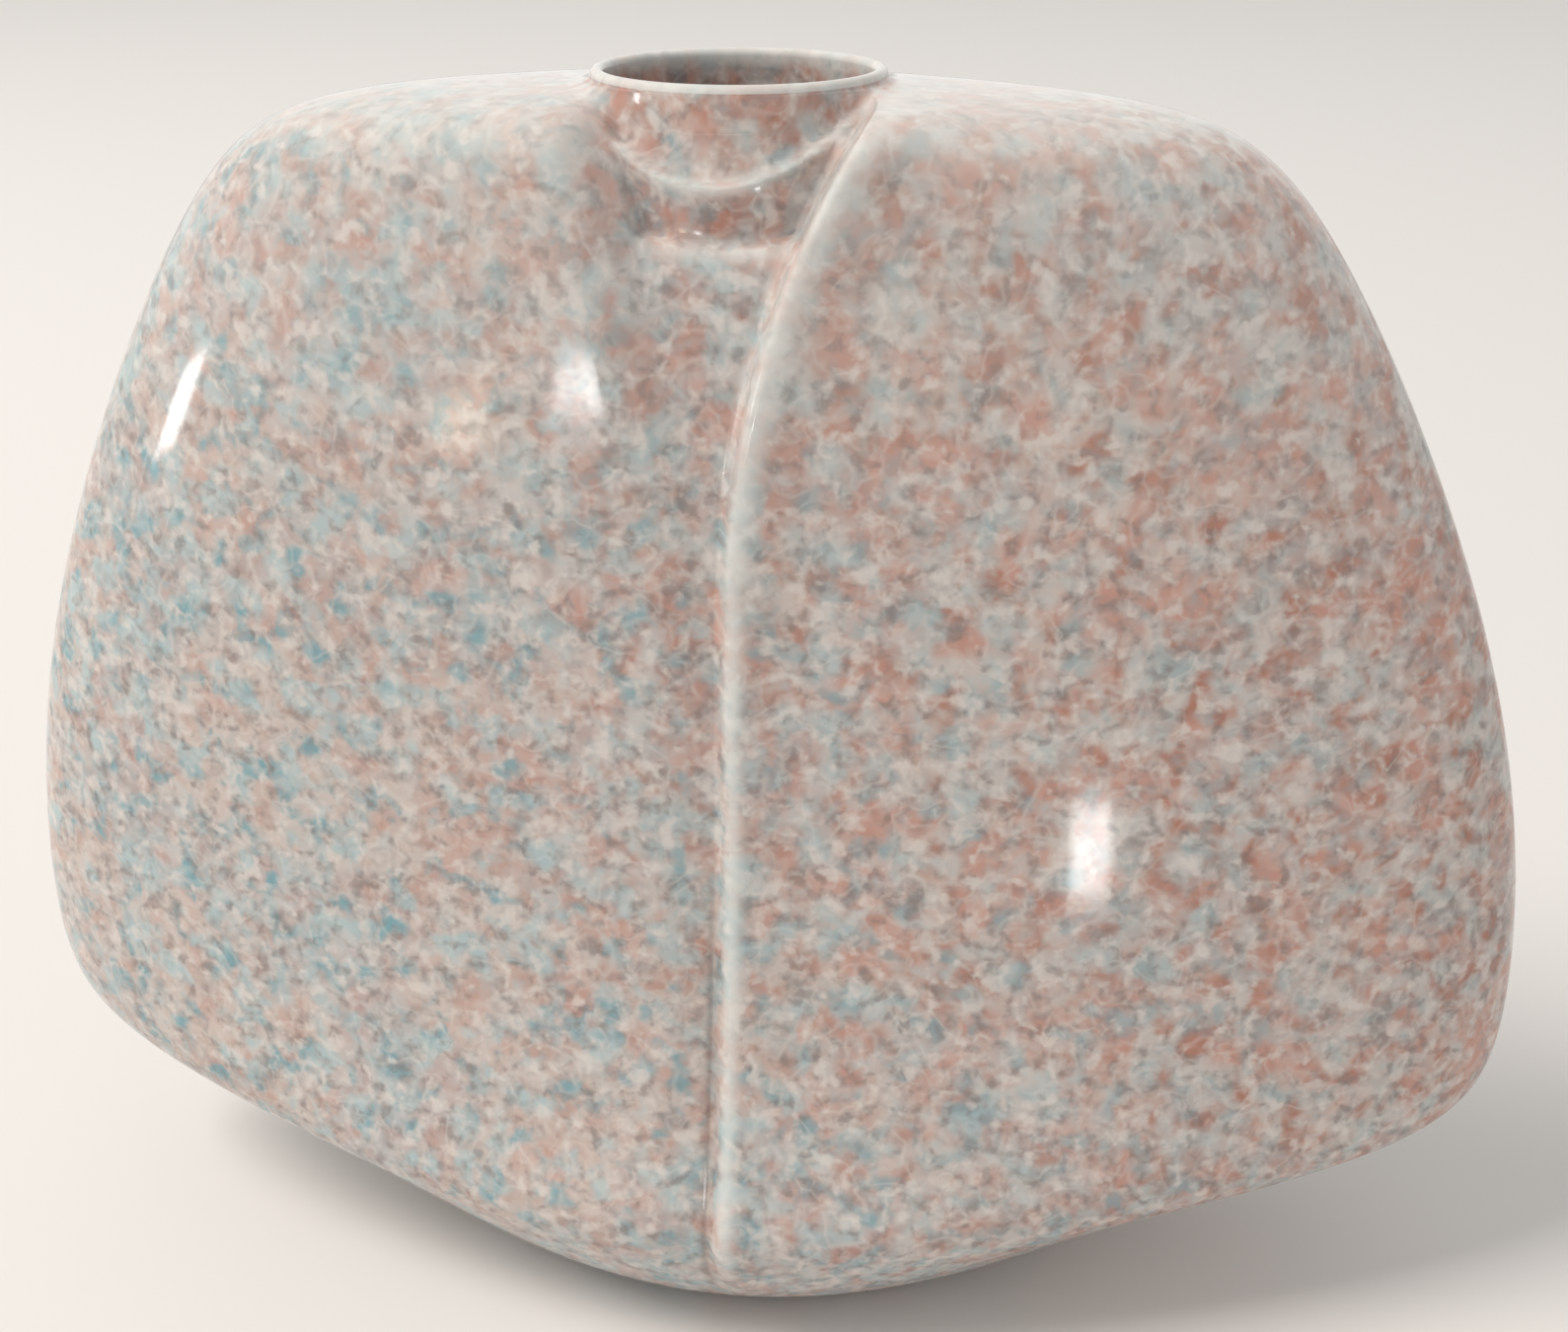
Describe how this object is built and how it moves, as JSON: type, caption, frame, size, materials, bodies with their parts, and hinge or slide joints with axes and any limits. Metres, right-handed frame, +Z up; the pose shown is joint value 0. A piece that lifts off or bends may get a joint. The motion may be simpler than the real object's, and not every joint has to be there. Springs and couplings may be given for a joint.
{
  "type": "pillow vase",
  "caption": "Wide flattened vase with two lapped front lobes, a short round neck set between them and a small oval foot.",
  "frame": {"origin": "on the ground, under the centre of the body", "axes": "+X along the width, +Y from the front to the back, +Z up along the axis of the neck"},
  "size_m": [0.378, 0.1354, 0.3],
  "materials": {
    "glaze": "gloss",
    "bare_clay": "matte"
  },
  "bodies": {
    "root": {"right_front_panel": "glaze", "left_front_panel": "glaze", "back_panel": "glaze", "throat_gusset": "glaze", "neck_ring": "glaze", "neck_collar": "glaze", "base_slab": "bare_clay", "foot_ring": "bare_clay"}
  },
  "joints": []
}
